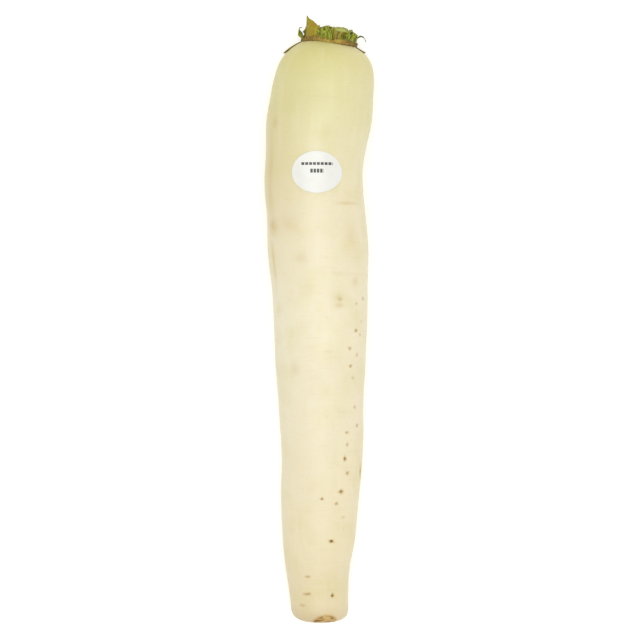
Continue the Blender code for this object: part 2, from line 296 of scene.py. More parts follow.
def relief(along, bearing):
    """How far the skin stands proud of the smooth section, in metres: long low lumps, as a sum of
    waves along and round the root, less the creases and the pits."""
    waves = sum(
        np.cos(lump_waves[i] * along + lump_turns[i] * bearing + lump_phases[i])
        for i in range(LUMP_COUNT)
    )
    lumpy = LUMP_HEIGHT * waves / np.sqrt(LUMP_COUNT / 2)
    near, dark = pits_at(along, bearing, PIT_RIM_MM)
    return lumpy - (crease_depth_at(along, bearing) + PIT_DEPTH_MM * near * dark) * MM


def on_skin(y, bearing, proud=0.0):
    """Points of the skin: at each Y an oval about the spine, cut flat where it would pass below the
    table, with the relief along the bearing. The relief fades out towards the two poles."""
    half = on_spine(spine_half, y)
    out = relief((y - TAIL_Y) / MM, bearing) * np.minimum(half / (0.4 * WIDEST), 1) + proud
    x = on_spine(spine_x, y) + (half + out) * np.cos(bearing)
    z = on_spine(spine_z, y) + (HEIGHT_RATIO * half + out) * np.sin(bearing)
    return np.stack(np.broadcast_arrays(x, y, np.maximum(z, 0)), axis=-1)


def shell_faces(rows, columns):
    """The faces of a shell of closed rings, each ring a row of the grid: quads between neighbouring
    rings, and a fan to a pole before the first and to one after the last."""
    row = np.arange(rows - 1)[:, None] * columns
    here = np.arange(columns)
    there = (here + 1) % columns
    quads = np.stack([row + here, row + there, row + columns + there, row + columns + here], axis=-1)
    first, last = rows * columns, rows * columns + 1
    low = np.stack([there, here, np.full(columns, first)], axis=-1)
    end = (rows - 1) * columns
    high = np.stack([end + here, end + there, np.full(columns, last)], axis=-1)
    return quads.reshape(-1, 4).tolist() + low.tolist() + high.tolist()


def sheet_faces(rows, columns):
    """The quads of an open grid."""
    row = np.arange(rows - 1)[:, None] * columns
    here = np.arange(columns - 1)
    quads = np.stack([row + here, row + here + 1, row + columns + here + 1, row + columns + here], axis=-1)
    return quads.reshape(-1, 4).tolist()


def volume(points, faces):
    """The signed volume inside a closed mesh: a sixth of the sum of each face's triple products."""
    total = 0.0
    for size in (3, 4):
        some = np.array([face for face in faces if len(face) == size])
        if len(some):
            for k in range(1, size - 1):
                a, b, c = (points[some[:, j]] for j in (0, k, k + 1))
                total += np.einsum("ij,ij->", a, np.cross(b, c))
    return total / 6


def make_piece(name, points, faces, material, stands_for, marks=None, uv=None):
    """Makes a piece of the radish that rides on its one body and stands for a CAD node. marks are
    numbers or colours at each point for the material to read."""
    mesh = bpy.data.meshes.new(name)
    mesh.from_pydata(points.tolist(), [], faces)
    mesh.materials.append(material)
    mesh.shade_smooth()
    for mark, values in (marks or {}).items():
        values = np.asarray(values, np.float32)
        kind, field = ("FLOAT", "value") if values.ndim == 1 else ("FLOAT_COLOR", "color")
        mesh.attributes.new(mark, kind, "POINT").data.foreach_set(field, values.ravel())
    if uv is not None:
        corners = np.empty(len(mesh.loops), np.int32)
        mesh.loops.foreach_get("vertex_index", corners)
        layer = mesh.uv_layers.new(name="surface")
        layer.data.foreach_set("uv", uv[corners].astype(np.float32).ravel())
    piece = bpy.data.objects.new(name, mesh)
    bpy.context.scene.collection.objects.link(piece)
    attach(piece, "root")
    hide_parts(stands_for)
    return piece


def make_shell(name, grid, material, stands_for, marks=None, uv=None):
    """Makes a closed piece from a grid of rings, with a pole at the middle of its first and last
    ring, and turns its faces outwards."""

    def with_poles(values):
        flat = values.reshape(-1, *values.shape[2:])
        return np.concatenate([flat, values[:1].mean(axis=1), values[-1:].mean(axis=1)])

    points = with_poles(grid)
    faces = shell_faces(*grid.shape[:2])
    if volume(points, faces) < 0:
        faces = [face[::-1] for face in faces]
    marks = {mark: with_poles(values) for mark, values in (marks or {}).items()}
    uv = None if uv is None else with_poles(uv)
    return make_piece(name, points, faces, material, stands_for, marks, uv)


def add(tree, kind, output, inputs, **settings):
    """Adds a shader node with its settings, gives each input a value or a link, and returns the
    output asked for."""
    made = tree.nodes.new("ShaderNode" + kind)
    for setting, value in settings.items():
        setattr(made, setting, value)
    for key, value in inputs.items():
        if isinstance(value, bpy.types.NodeSocket):
            tree.links.new(value, made.inputs[key])
        else:
            made.inputs[key].default_value = value
    return made.outputs[output] if output is not None else None


def new_material(name):
    """A material of this name with nothing in it yet, and its node tree."""
    made = bpy.data.materials.new(name)
    made.use_nodes = True
    made.node_tree.nodes.clear()
    return made, made.node_tree


def per(millimetres):
    """The noise scale, in cells to the metre, whose cells are this size."""
    return 1000 / millimetres


def mixed(tree, share, under, over):
    """A share of one colour laid over another: their mix in a straight line."""
    return add(tree, "Mix", 2, {0: share, 6: under, 7: over}, data_type="RGBA")


def ramp(tree, value, low, high, first=0.0, last=1.0):
    """A value stretched in a straight line so that low gives first and high gives last, and held at
    those two outside."""
    return add(tree, "MapRange", "Result", {"Value": value, 1: low, 2: high, 3: first, 4: last})


def worked_out(tree, operation, value, other):
    """Two numbers put together by one of the shader's sums."""
    return add(tree, "Math", 0, {0: value, 1: other}, operation=operation)


def end_material(tree, surface):
    """Ends a material with one surface of these looks."""
    shader = add(tree, "BsdfPrincipled", "BSDF", surface)
    add(tree, "OutputMaterial", None, {"Surface": shader})


# Daikon skin: a living cork layer a fraction of a millimetre thick, as grown and washed. To the eye it
# is a satin cream with a wet-looking softness, because light goes a little way into the white flesh.
skin, tree = new_material("washed_daikon_skin")
place = add(tree, "TexCoord", "Object", {})
grown_colour = add(tree, "Attribute", "Color", {}, attribute_name="grown_colour")
rubbed = add(tree, "Attribute", "Fac", {}, attribute_name="rubbed")
pitted = add(tree, "Attribute", "Fac", {}, attribute_name="pitted")
pit_dark = add(tree, "Attribute", "Fac", {}, attribute_name="pit_dark")
scarred = add(tree, "Attribute", "Fac", {}, attribute_name="tail_scar")
ringwise = add(tree, "Mapping", "Vector", {"Vector": place, "Scale": (1, 7, 1)})
lengthwise = add(tree, "Mapping", "Vector", {"Vector": place, "Scale": (1, 0.12, 1)})
crosswise = add(tree, "Mapping", "Vector", {"Vector": place, "Scale": (0.25, 1, 1)})
mottle = add(tree, "TexNoise", "Fac", {"Vector": place, "Scale": per(17), "Detail": 5.0})
rings = add(tree, "TexNoise", "Fac", {"Vector": ringwise, "Scale": per(11), "Detail": 5.0})
streaks = add(tree, "TexNoise", "Fac", {"Vector": lengthwise, "Scale": per(5), "Detail": 4.0})
specks = add(tree, "TexNoise", "Fac", {"Vector": place, "Scale": per(1.6), "Detail": 3.0})
pores = add(tree, "TexNoise", "Fac", {"Vector": place, "Scale": per(0.5), "Detail": 2.0})
torn_fibres = add(tree, "TexNoise", "Fac", {"Vector": crosswise, "Scale": per(1.5), "Detail": 4.0})
warm = ramp(tree, mottle, 0.45, 0.72, 0.0, 0.3)
colour = mixed(tree, warm, grown_colour, rgba("CDC384"))
ringed = ramp(tree, rings, 0.58, 0.8, 0.0, 0.22)
colour = mixed(tree, ringed, colour, rgba("C4B584"))
drawn = ramp(tree, streaks, 0.52, 0.8, 0.0, 0.14)
colour = mixed(tree, drawn, colour, rgba("EBE5CF"))
blotch = ramp(tree, mottle, 0.35, 0.6, 0.55, 1.0)
rubbing = worked_out(tree, "MULTIPLY", rubbed, blotch)
colour = mixed(tree, rubbing, colour, rgba("BC9C4C"))
ragged = ramp(tree, specks, 0.3, 0.7, -0.16, 0.16)
pit = worked_out(tree, "ADD", pitted, ragged)
stain = ramp(tree, pit, 0.15, 0.7, 0.0, 0.75)
staining = worked_out(tree, "MULTIPLY", stain, pit_dark)
colour = mixed(tree, staining, colour, rgba("B28C38"))
hole = ramp(tree, pit, 0.7, 0.95)
depth = ramp(tree, pit_dark, 0.35, 1.0, 0.1, 0.95)
pitting = worked_out(tree, "MULTIPLY", hole, depth)
colour = mixed(tree, pitting, colour, rgba("5C4014"))
scar = worked_out(tree, "ADD", scarred, ragged)
browned = ramp(tree, scar, 0.1, 0.55, 0.0, 0.7)
colour = mixed(tree, browned, colour, rgba("C09A50"))
scarring = ramp(tree, scar, 0.5, 0.9)
fibrous = ramp(tree, torn_fibres, 0.44, 0.58, 0.0, 0.85)
fibres = worked_out(tree, "MULTIPLY", scarring, fibrous)
colour = mixed(tree, fibres, colour, rgba("6E4412"))
wax = ramp(tree, specks, 0.3, 0.7, 0.4, 0.52)
dried = worked_out(tree, "MAXIMUM", pitting, scarring)
roughness = add(tree, "Mix", 0, {0: dried, 2: wax, 3: 0.85}, data_type="FLOAT")
bumps = add(tree, "Bump", "Normal", {"Height": pores, "Strength": 0.12, "Distance": 0.1 * MM})
bumps = add(
    tree, "Bump", "Normal", {"Height": rings, "Strength": 0.25, "Distance": 0.3 * MM, "Normal": bumps}
)
end_material(
    tree,
    {
        "Base Color": colour,
        "Roughness": roughness,
        "Normal": bumps,
        "IOR": 1.4,
        "Subsurface Weight": 0.2,
        "Subsurface Radius": (1.0, 0.7, 0.35),
        "Subsurface Scale": 3 * MM,
    },
)


def skin_colours(along, bearing):
    """The grown colour at each point: the listed colours read off by distance from the tail, mixed with
    tan on the left flank and with a paler cream on the right, both by the cosine of the bearing."""
    places = [row[0] for row in SKIN_COLOURS]
    hues = np.array([linear(row[1]) for row in SKIN_COLOURS])
    grown = np.stack([np.interp(along, places, hue) for hue in hues.T], axis=-1)
    swing = np.cos(bearing)[..., None] / FLANK
    stretch = np.exp(-(((along - TAN_MIDDLE) / TAN_HALF_LENGTH) ** 2))[..., None]
    grown += TAN_STRENGTH * stretch * np.clip(-swing, 0, 1) * (linear(TAN_COLOUR) - grown)
    grown += PALE_STRENGTH * np.clip(swing, 0, 1) * (linear(PALE_COLOUR) - grown)
    return np.concatenate([grown, np.ones_like(grown[..., :1])], axis=-1)


def rubbing_at(along, bearing):
    """How rubbed the skin is: for each listed patch a bell over distance along and round the root."""
    total = np.zeros_like(along)
    radius = on_spine(spine_half, TAIL_Y + along * MM) / MM
    for place, right, half_length, half_width, strength in RUBBED_PATCHES_MM:
        middle = bearing_of(TAIL_Y + place * MM, right * MM)
        across = turned(bearing, middle) * radius / half_width
        total = np.maximum(total, strength * np.exp(-(((along - place) / half_length) ** 2) - across**2))
    return total


def tail_scar_at(points):
    """How far a point lies within the scar: 1 in the inner three quarters of an oval ball about the
    scar's middle, falling in a straight line to 0 a little outside the ball."""
    right, inward, up = np.array(SCAR_MIDDLE_MM) * MM
    middle = np.array([right, TAIL_Y + inward, on_spine(spine_z, TAIL_Y) + up])
    reach = np.array(SCAR_REACH_MM) * MM
    far = np.linalg.norm((points - middle) / reach, axis=-1)
    return np.clip((SCAR_END - far) / SCAR_FADE, 0, 1)


def make_root():
    """The skin: rings at equal steps of arc length down the root, each with columns that crowd together
    where most of the pits are."""
    arc = np.concatenate([[0], np.cumsum(np.hypot(np.diff(spine_y), np.diff(spine_half)))])
    steps = np.linspace(0, arc[-1], SKIN_RINGS + 2)[1:-1]
    turn = 2 * np.pi * np.arange(SKIN_COLUMNS) / SKIN_COLUMNS
    y, bearing = np.meshgrid(
        np.interp(steps, arc, spine_y),
        turn + CROWDING * np.cos(turn + np.pi / 2 - CROWDED_BEARING),
        indexing="ij",
    )
    along = (y - TAIL_Y) / MM
    grid = on_skin(y, bearing)
    near, dark = pits_at(along, bearing, STAIN_RIM_MM)
    marks = {
        "grown_colour": skin_colours(along, bearing),
        "rubbed": rubbing_at(along, bearing),
        "pitted": near,
        "pit_dark": dark,
        "tail_scar": tail_scar_at(grid),
    }
    return make_shell("radish_root", grid, skin, "taproot", marks)


make_root()

# --------------------------------------------------------------------------------------- the label
# A thin oval of coated white paper with a weak adhesive, laid over the top of the root where it
# narrows, so it bends with the skin. Plain dashes stand where a shop would print a name.
LABEL_PAPER = 0.12 * MM
LABEL_FIT = 0.975
LABEL_RINGS = 40
LABEL_COLUMNS = 160
LABEL_INK = "1E1E1C"
INK_COVER = 0.95

# Coated label paper: clay-coated wood pulp, calendered smooth. It looks flat white, a little cooler
# than the skin, with a faint sheen and hardly any tooth.
paper, tree = new_material("coated_label_paper")
across_label = add(tree, "UVMap", "UV", {}, uv_map="surface")
u = add(tree, "SeparateXYZ", "X", {0: across_label})
v = add(tree, "SeparateXYZ", "Y", {0: across_label})


def within(tree, value, low, high):
    """1 where a value lies between two others, else 0."""
    over = worked_out(tree, "GREATER_THAN", value, low)
    under = worked_out(tree, "LESS_THAN", value, high)
    return worked_out(tree, "MULTIPLY", over, under)


def dashes(tree, u, v, height, thickness, half_width, pitch, ink):
    """A printed row of dashes: repeated marks of one length across the label, cut off at both ends."""
    row = within(tree, v, height - thickness / 2, height + thickness / 2)
    span = within(tree, u, -half_width, half_width)
    place = worked_out(tree, "DIVIDE", u, pitch)
    share = add(tree, "Math", 0, {0: place}, operation="FRACT")
    gap = worked_out(tree, "LESS_THAN", share, ink)
    mark = worked_out(tree, "MULTIPLY", row, span)
    return worked_out(tree, "MULTIPLY", mark, gap)


upper = dashes(tree, u, v, height=0.40, thickness=0.13, half_width=0.64, pitch=0.155, ink=0.78)
lower = dashes(tree, u, v, height=0.06, thickness=0.19, half_width=0.27, pitch=0.13, ink=0.76)
printed = worked_out(tree, "MAXIMUM", upper, lower)
place = add(tree, "TexCoord", "Object", {})
pulp = add(tree, "TexNoise", "Fac", {"Vector": place, "Scale": per(0.7), "Detail": 3.0})
cloud = add(tree, "TexNoise", "Fac", {"Vector": place, "Scale": per(7), "Detail": 3.0})
shade = ramp(tree, cloud, 0.35, 0.65)
base = mixed(tree, shade, rgba("DEDED8"), rgba("DADAD2"))
ink = worked_out(tree, "MULTIPLY", printed, INK_COVER)
base = mixed(tree, ink, base, rgba(LABEL_INK))
tooth = add(tree, "Bump", "Normal", {"Height": pulp, "Strength": 0.15, "Distance": 0.05 * MM})
end_material(
    tree,
    {"Base Color": base, "Roughness": 0.42, "Normal": tooth, "IOR": 1.5},
)


def make_label():
    """Rings of an oval that grow from the middle of the label's face to its rim and shrink again on its
    back, every point laid over the skin. The rim lifts by a hair in two places."""
    low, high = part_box("label")
    middle, reach = (np.array(low) + np.array(high)) / 2, LABEL_FIT * (np.array(high) - np.array(low)) / 2
    out = np.sin(np.linspace(0.02, np.pi / 2, LABEL_RINGS))
    share = np.concatenate([out, out[::-1]])[:, None]
    face = np.repeat([LABEL_PAPER, 0.0], LABEL_RINGS)[:, None]
    turn = np.linspace(0, 2 * np.pi, LABEL_COLUMNS, endpoint=False)[None, :]
    u, v = share * np.cos(turn), share * np.sin(turn)
    y = middle[1] + reach[1] * v
    lift = 0.35 * np.exp(-((turn - 2.4) ** 2) / 0.18) + 0.22 * np.exp(-((turn - 5.4) ** 2) / 0.1)
    proud = (0.06 + 0.12 * share**8 + lift * share**10) * MM + face
    grid = on_skin(y, bearing_of(y, middle[0] + reach[0] * u), proud)
    uv = np.stack([u, v], axis=-1)
    return make_shell("paper_label", grid, paper, "label", uv=uv)


make_label()

# ---------------------------------------------------------------------------- the cut leaf stalks
# Stumps of the leaf stalks, in rings round the heart. Each is crescent-shaped, ribbed outside and
# channelled inside, and was sliced across with a knife, so its top is a pale moist face that has
# begun to dry and brown. One was torn instead, and ends in a tall point. They grow out of the root.
ROOTED = 1.4 * MM
LOWEST_SEAT = -40 * MM
HIGHEST_SEAT = 15 * MM
HALVINGS = 26
STALK_COLUMNS = 84
STALK_RINGS = 26
CUT_RINGS = 9
RIB_HEIGHT = 0.16 * MM
RIB_SPACING = 1.15 * MM
CUT_UNEVENNESS = 0.26 * MM
CUT_LEAN = 0.5 * MM
CUT_SLOPE = 0.6 * MM
CUT_HOLLOW = 0.9 * MM
TEAR_HEIGHT = 6.5 * MM
TEAR_UNEVENNESS = 0.16 * MM
TEAR_LEAN = 3.8 * MM


def crown_axes():
    """The crown's directions: along the heart's axis, up, and across."""
    points = node_points("heart_bud")
    far = points[:, 1] > np.median(points[:, 1])
    along = points[far].mean(axis=0) - points[~far].mean(axis=0)
    along[2] = 0.0
    along /= np.linalg.norm(along)
    up = np.array([0.0, 0.0, 1.0])
    return np.cross(along, up), up, along, points.mean(axis=0)


ACROSS, UP, ALONG, heart_middle = crown_axes()


def inside_root(points):
    """Whether each point lies in the root's smooth section: the squares of its shares of the half width
    and of the half height come to under 1."""
    x, y, z = np.moveaxis(points, -1, 0)
    half = np.maximum(on_spine(spine_half, y), 1e-9)
    across = (x - on_spine(spine_x, y)) / half
    up = (z - on_spine(spine_z, y)) / (HEIGHT_RATIO * half)
    return (across**2 + up**2 < 1) & (y < CROWN_Y) & (y > TAIL_Y)


def crown_point(across, up, along):
    """A point of the crown's own directions in the radish's frame."""
    across, up, along = np.broadcast_arrays(across, up, along)
    return heart_middle + across[..., None] * ACROSS + up[..., None] * UP + along[..., None] * ALONG


def seat(across, up):
    """Where along the crown's axis the root's skin lies, by halving the stretch that holds it."""
    low = np.full(np.broadcast(across, up).shape, LOWEST_SEAT)
    high = np.full_like(low, HIGHEST_SEAT)
    for _ in range(HALVINGS):
        half = (low + high) / 2
        inside = inside_root(crown_point(across, up, half))
        low, high = np.where(inside, half, low), np.where(inside, high, half)
    return high


def crown_polar(name):
    """A crown node's corners as distance from the axis, bearing round it, and place along it."""
    offset = node_points(name) - heart_middle
    across, up, along = offset @ ACROSS, offset @ UP, offset @ ALONG
    bearing = np.arctan2(up, across)
    middle = np.arctan2(np.sin(bearing).mean(), np.cos(bearing).mean())
    return np.hypot(across, up), turned(bearing, middle), middle, along


# Radish leaf stalk, cut green: wet fibrous tissue. It is olive and lime with tan at the foot, with
# a painted highlight on its raised fibres and painted shade in the grooves between them, and the cut
# face is paler, with the dots of the vessels and a brown dry rim.
stalk_tissue, tree = new_material("cut_radish_stalk")
place = add(tree, "TexCoord", "Object", {})
surface = add(tree, "UVMap", "UV", {}, uv_map="surface")
height = add(tree, "Attribute", "Fac", {}, attribute_name="height")
cut = add(tree, "Attribute", "Fac", {}, attribute_name="cut")
tint = add(tree, "Attribute", "Fac", {}, attribute_name="tint")
golden = add(tree, "Attribute", "Fac", {}, attribute_name="golden")
drawn_out = add(tree, "Mapping", "Vector", {"Vector": surface, "Scale": (1, 0.16, 1)})
fibres = add(tree, "TexNoise", "Fac", {"Vector": drawn_out, "Scale": per(0.7), "Detail": 3.0})
patches = add(tree, "TexNoise", "Fac", {"Vector": place, "Scale": per(3.4), "Detail": 4.0})
flecks = add(tree, "TexNoise", "Fac", {"Vector": place, "Scale": per(1.1), "Detail": 4.0})
green = mixed(tree, tint, rgba("6C7608"), rgba("9A9A22"))
olive = ramp(tree, patches, 0.42, 0.62)
side = mixed(tree, olive, green, rgba("6E5A08"))
# Painted highlight: where the fibre noise stands proud in the bump, the side is mixed towards pale lime.
pale = ramp(tree, fibres, 0.5, 0.72, 0.0, 0.75)
side = mixed(tree, pale, side, rgba("B4AC3E"))
# Painted shade: where the fibre noise sinks in the bump, the side is mixed towards dark olive.
painted_groove_shade = ramp(tree, fibres, 0.5, 0.36, 0.0, 0.85)
side = mixed(tree, painted_groove_shade, side, rgba("40380A"))
rusty = ramp(tree, flecks, 0.48, 0.62, 0.0, 0.9)
rust = worked_out(tree, "MULTIPLY", rusty, golden)
side = mixed(tree, rust, side, rgba("8E5A10"))
gilt = worked_out(tree, "MULTIPLY", golden, 0.42)
side = mixed(tree, gilt, side, rgba("B8A21A"))
low_down = ramp(tree, height, 0.45, 0.12, 0.0, 0.85)
side = mixed(tree, low_down, side, rgba("8A6220"))
vessels = add(tree, "TexVoronoi", "Distance", {"Vector": place, "Scale": per(0.9)})
dots = ramp(tree, vessels, 0.18, 0.42, 0.6, 0.0)
pith = mixed(tree, patches, rgba("B7BE6A"), rgba("9CA448"))
pith = mixed(tree, dots, pith, rgba("8C8A3C"))
rim = ramp(tree, cut, 0.5, 0.1, 0.0, 0.7)
pith = mixed(tree, rim, pith, rgba("7E6A1C"))
sliced = ramp(tree, cut, 0.0, 0.04)
tissue = mixed(tree, sliced, side, pith)
wet = ramp(tree, flecks, 0.3, 0.7, 0.38, 0.7)
grain = add(tree, "Bump", "Normal", {"Height": fibres, "Strength": 0.6, "Distance": 0.25 * MM})
grain = add(
    tree, "Bump", "Normal", {"Height": flecks, "Strength": 0.5, "Distance": 0.3 * MM, "Normal": grain}
)
end_material(
    tree,
    {
        "Base Color": tissue,
        "Roughness": wet,
        "Normal": grain,
        "IOR": 1.4,
        "Subsurface Weight": 0.12,
        "Subsurface Radius": (0.6, 0.9, 0.3),
        "Subsurface Scale": 1 * MM,
    },
)


def rough_edge(u, seed, waves, amount):
    """An uneven line over u from -1 to 1: a sum of seeded waves, finer ones lower."""
    chance = np.random.default_rng(seed)
    total = np.zeros_like(u)
    for k in range(1, waves + 1):
        total += chance.normal() * np.cos(k * np.pi * u + chance.uniform(0, 6.3)) / k**0.8
    return amount * total


def make_stalk(node, seed, slope=0.5 * MM, tear=0.0):
    """A stump: rings of a crescent section up the stalk, then rings that shrink to the middle of the cut
    face. The section is a bent oval, ribbed on the outside and hollowed on the inside, and the cut
    slopes down outwards. A torn stalk thins out upwards and rises to a sharp point at one wing."""
    radius, bearing, middle, along = crown_polar(node)
    inner = np.percentile(radius, 4)
    outer = np.percentile(radius, 96)
    ring_radius, thick = (inner + outer) / 2, 0.56 * (outer - inner)
    span = 1.02 * np.abs(bearing).max()
    top = along.max() - tear if tear else np.percentile(along, 97)
    chance = np.random.default_rng(seed)
    turn = np.linspace(0, 2 * np.pi, STALK_COLUMNS, endpoint=False)
    wing = np.sign(np.cos(turn)) * np.abs(np.cos(turn)) ** 0.8
    skinward = np.sign(np.sin(turn)) * np.abs(np.sin(turn)) ** 0.85
    rise = np.concatenate([np.linspace(0, 1, STALK_RINGS), np.ones(CUT_RINGS)])[:, None]
    shrink = np.concatenate([np.ones(STALK_RINGS), np.linspace(0.93, 0.04, CUT_RINGS)])[:, None]
    wing, skinward = wing[None, :] * shrink**0.85, skinward[None, :] * shrink
    ribs = RIB_HEIGHT * np.cos(2 * np.pi * wing * span * ring_radius / RIB_SPACING)
    channel = np.where(skinward < 0, 1 - 0.45 * (1 - wing**2), 1.0)
    half = thick * (1 - 0.62 * np.abs(wing) ** 2.2) * channel
    wander = rough_edge(wing, seed + 50, 4, 0.22 * MM) * rise
    point = np.clip((1 + wing) / 2, 0, 1)
    if tear:
        half = half * (1 - 0.86 * rise**1.6) * (1 - 0.3 * point)
        lean = TEAR_LEAN * point * rise**1.5
        crest = top - 0.5 * MM + tear * point**1.1 + rough_edge(wing, seed, 9, TEAR_UNEVENNESS)
        crest = crest - 0.1 * slope * skinward
    else:
        lean = CUT_LEAN * rise**1.5
        crest = top + rough_edge(wing, seed, 9, CUT_UNEVENNESS) - slope * skinward
    rho = ring_radius + skinward * half + ribs * np.clip(skinward, 0, 1) * shrink + wander + lean
    angle = middle + wing * span * (1 - 0.05 * rise) + chance.normal(0, 0.02) * rise
    angle = angle - (0.2 * point * rise**2 if tear else 0.0)
    across, up = rho * np.cos(angle), rho * np.sin(angle)
    foot = seat(across, up) - ROOTED
    hollow = 0.0 if tear else CUT_HOLLOW * (1 - shrink) ** 0.6 * (1 - wing**2)
    grid = crown_point(across, up, foot + rise * (crest - foot) - hollow * rise)
    marks = {
        "height": rise * np.ones_like(wing),
        "cut": (0.0 if tear else 1 - shrink) * np.ones_like(wing),
        "tint": np.full_like(wing, chance.uniform(0.1, 0.9)),
        "golden": np.full_like(wing, 0.85 if tear else 0.25),
    }
    uv = np.stack([wing * span * ring_radius + 0.003 * skinward, rise * (crest - foot)], axis=-1)
    return make_shell(f"{node}_tissue", grid, stalk_tissue, node, marks, uv)


# The stalks whose cut slopes down outwards more than the others'.
SLOPES = {"outer_stalk_1": 1.3 * MM, "outer_stalk_2": 1.5 * MM, "outer_stalk_3": 1.0 * MM}
for ring, count in (("outer", 6), ("inner", 5), ("core", 3)):
    for i in range(1, count + 1):
        node = f"{ring}_stalk_{i}"
        make_stalk(node, seed=10 * count + i, slope=SLOPES.get(node, CUT_SLOPE))
make_stalk("torn_stalk", seed=4, tear=TEAR_HEIGHT)


def make_heart():
    """The growing point: a blunt bud, a half-oval turned about the crown's axis with three folds."""
    radius, _, _, along = crown_polar("heart_bud")
    reach, top = radius.max(), along.max()
    rise = np.linspace(0, 1, 24)[:, None]
    turn = np.linspace(0, 2 * np.pi, 60, endpoint=False)[None, :]
    folds = 1 + 0.12 * np.cos(3 * turn + 4 * rise) + 0.05 * np.cos(9 * turn)
    rho = reach * np.sqrt(np.clip(1.001 - rise**2.5, 0, 1)) * folds
    across, up = rho * np.cos(turn), rho * np.sin(turn)
    foot = seat(across, up) - ROOTED
    grid = crown_point(across, up, foot + rise * (top - foot))
    marks = {
        "height": rise * np.ones_like(turn),
        "cut": np.zeros_like(rho),
        "tint": np.full_like(rho, 0.8),
        "golden": np.full_like(rho, 0.3),
    }
    uv = np.stack([turn * reach * np.ones_like(rho), rise * (top - foot)], axis=-1)
    return make_shell("heart_bud_tissue", grid, stalk_tissue, "heart_bud", marks, uv)


make_heart()

# ---------------------------------------------------------------------------- the leaf blade scraps
# What the knife left of the leaf blades: thin, limp, deeply crinkled strips pressed between the
# stalks and the dried sheaths, three layers in each place, with a painted highlight in bright lime on
# the outward folds and painted shade in the inward ones.
BLADE = 0.28 * MM
BLADE_LAYERS = 3
LAYER_STEP = 0.9 * MM
BLADE_COLUMNS = 240
BLADE_ROWS = 30

# Radish leaf blade, fresh but wilting: a thin green sheet with paler veins. Its folds carry painted
# shade, dark olive, in their depths and a painted highlight, lime, on their outer edges.
blade, tree = new_material("wilted_radish_leaf")
place = add(tree, "TexCoord", "Object", {})
height = add(tree, "Attribute", "Fac", {}, attribute_name="height")
fold = add(tree, "Attribute", "Fac", {}, attribute_name="fold")
patches = add(tree, "TexNoise", "Fac", {"Vector": place, "Scale": per(1.7), "Detail": 4.0})
veins = add(
    tree, "TexVoronoi", "Distance", {"Vector": place, "Scale": per(1.3)}, feature="DISTANCE_TO_EDGE"
)
deep = ramp(tree, patches, 0.4, 0.62)
leaf = mixed(tree, deep, rgba("727A0A"), rgba("4C5203"))
# Painted highlight on the outward folds and painted shade in the inward ones, read from the fold share.
lit = ramp(tree, fold, 0.55, 0.95, 0.0, 0.75)
leaf = mixed(tree, lit, leaf, rgba("A2A82C"))
shaded = ramp(tree, fold, 0.42, 0.12, 0.0, 0.85)
leaf = mixed(tree, shaded, leaf, rgba("2E3203"))
vein = ramp(tree, veins, 0.0, 0.07, 0.5, 0.0)
leaf = mixed(tree, vein, leaf, rgba("AEB04A"))
foot = ramp(tree, height, 0.4, 0.05, 0.0, 0.7)
leaf = mixed(tree, foot, leaf, rgba("7A641E"))
puckers = add(tree, "Bump", "Normal", {"Height": patches, "Strength": 0.6, "Distance": 0.4 * MM})
end_material(
    tree,
    {
        "Base Color": leaf,
        "Roughness": 0.5,
        "Normal": puckers,
        "IOR": 1.4,
        "Subsurface Weight": 0.15,
        "Subsurface Radius": (0.5, 1.0, 0.2),
        "Subsurface Scale": 0.8 * MM,
    },
)


def thickened(piece, thickness, offset=0.0):
    """Gives a sheet its real thickness."""
    solid = piece.modifiers.new("thickness", "SOLIDIFY")
    solid.thickness = thickness
    solid.offset = offset
    return piece


def stack(sheets):
    """Joins open grids of one size into one mesh: their points one after another, and their quads."""
    rows, columns = sheets[0].shape[:2]
    quads = np.array(sheet_faces(rows, columns))
    faces = [(quads + k * rows * columns).tolist() for k in range(len(sheets))]
    return np.concatenate([s.reshape(-1, 3) for s in sheets]), sum(faces, [])


def ruffles(u, w, chance, count):
    """Uneven folds over a strip: seeded waves along it, each drifting sideways as it climbs, with the
    phase of the long ones wandering so that no two folds are alike. Runs about from -1 to 1."""
    wander = 1.1 * np.sin(2.1 * u + chance.uniform(0, 6.3)) + 0.7 * np.sin(5.3 * u + chance.uniform(0, 6.3))
    total = np.zeros(np.broadcast(u, w).shape)
    for k in range(count):
        rate, drift = chance.uniform(6, 26), chance.normal(0, 4)
        fold = np.sin(rate * u + (1 + 0.3 * k) * wander + drift * w + chance.uniform(0, 6.3))
        total = total + chance.uniform(0.5, 1) * fold * (1 + 0.6 * np.sin(8 * w + chance.uniform(0, 6.3)))
    return total / np.sqrt(0.55 * count)


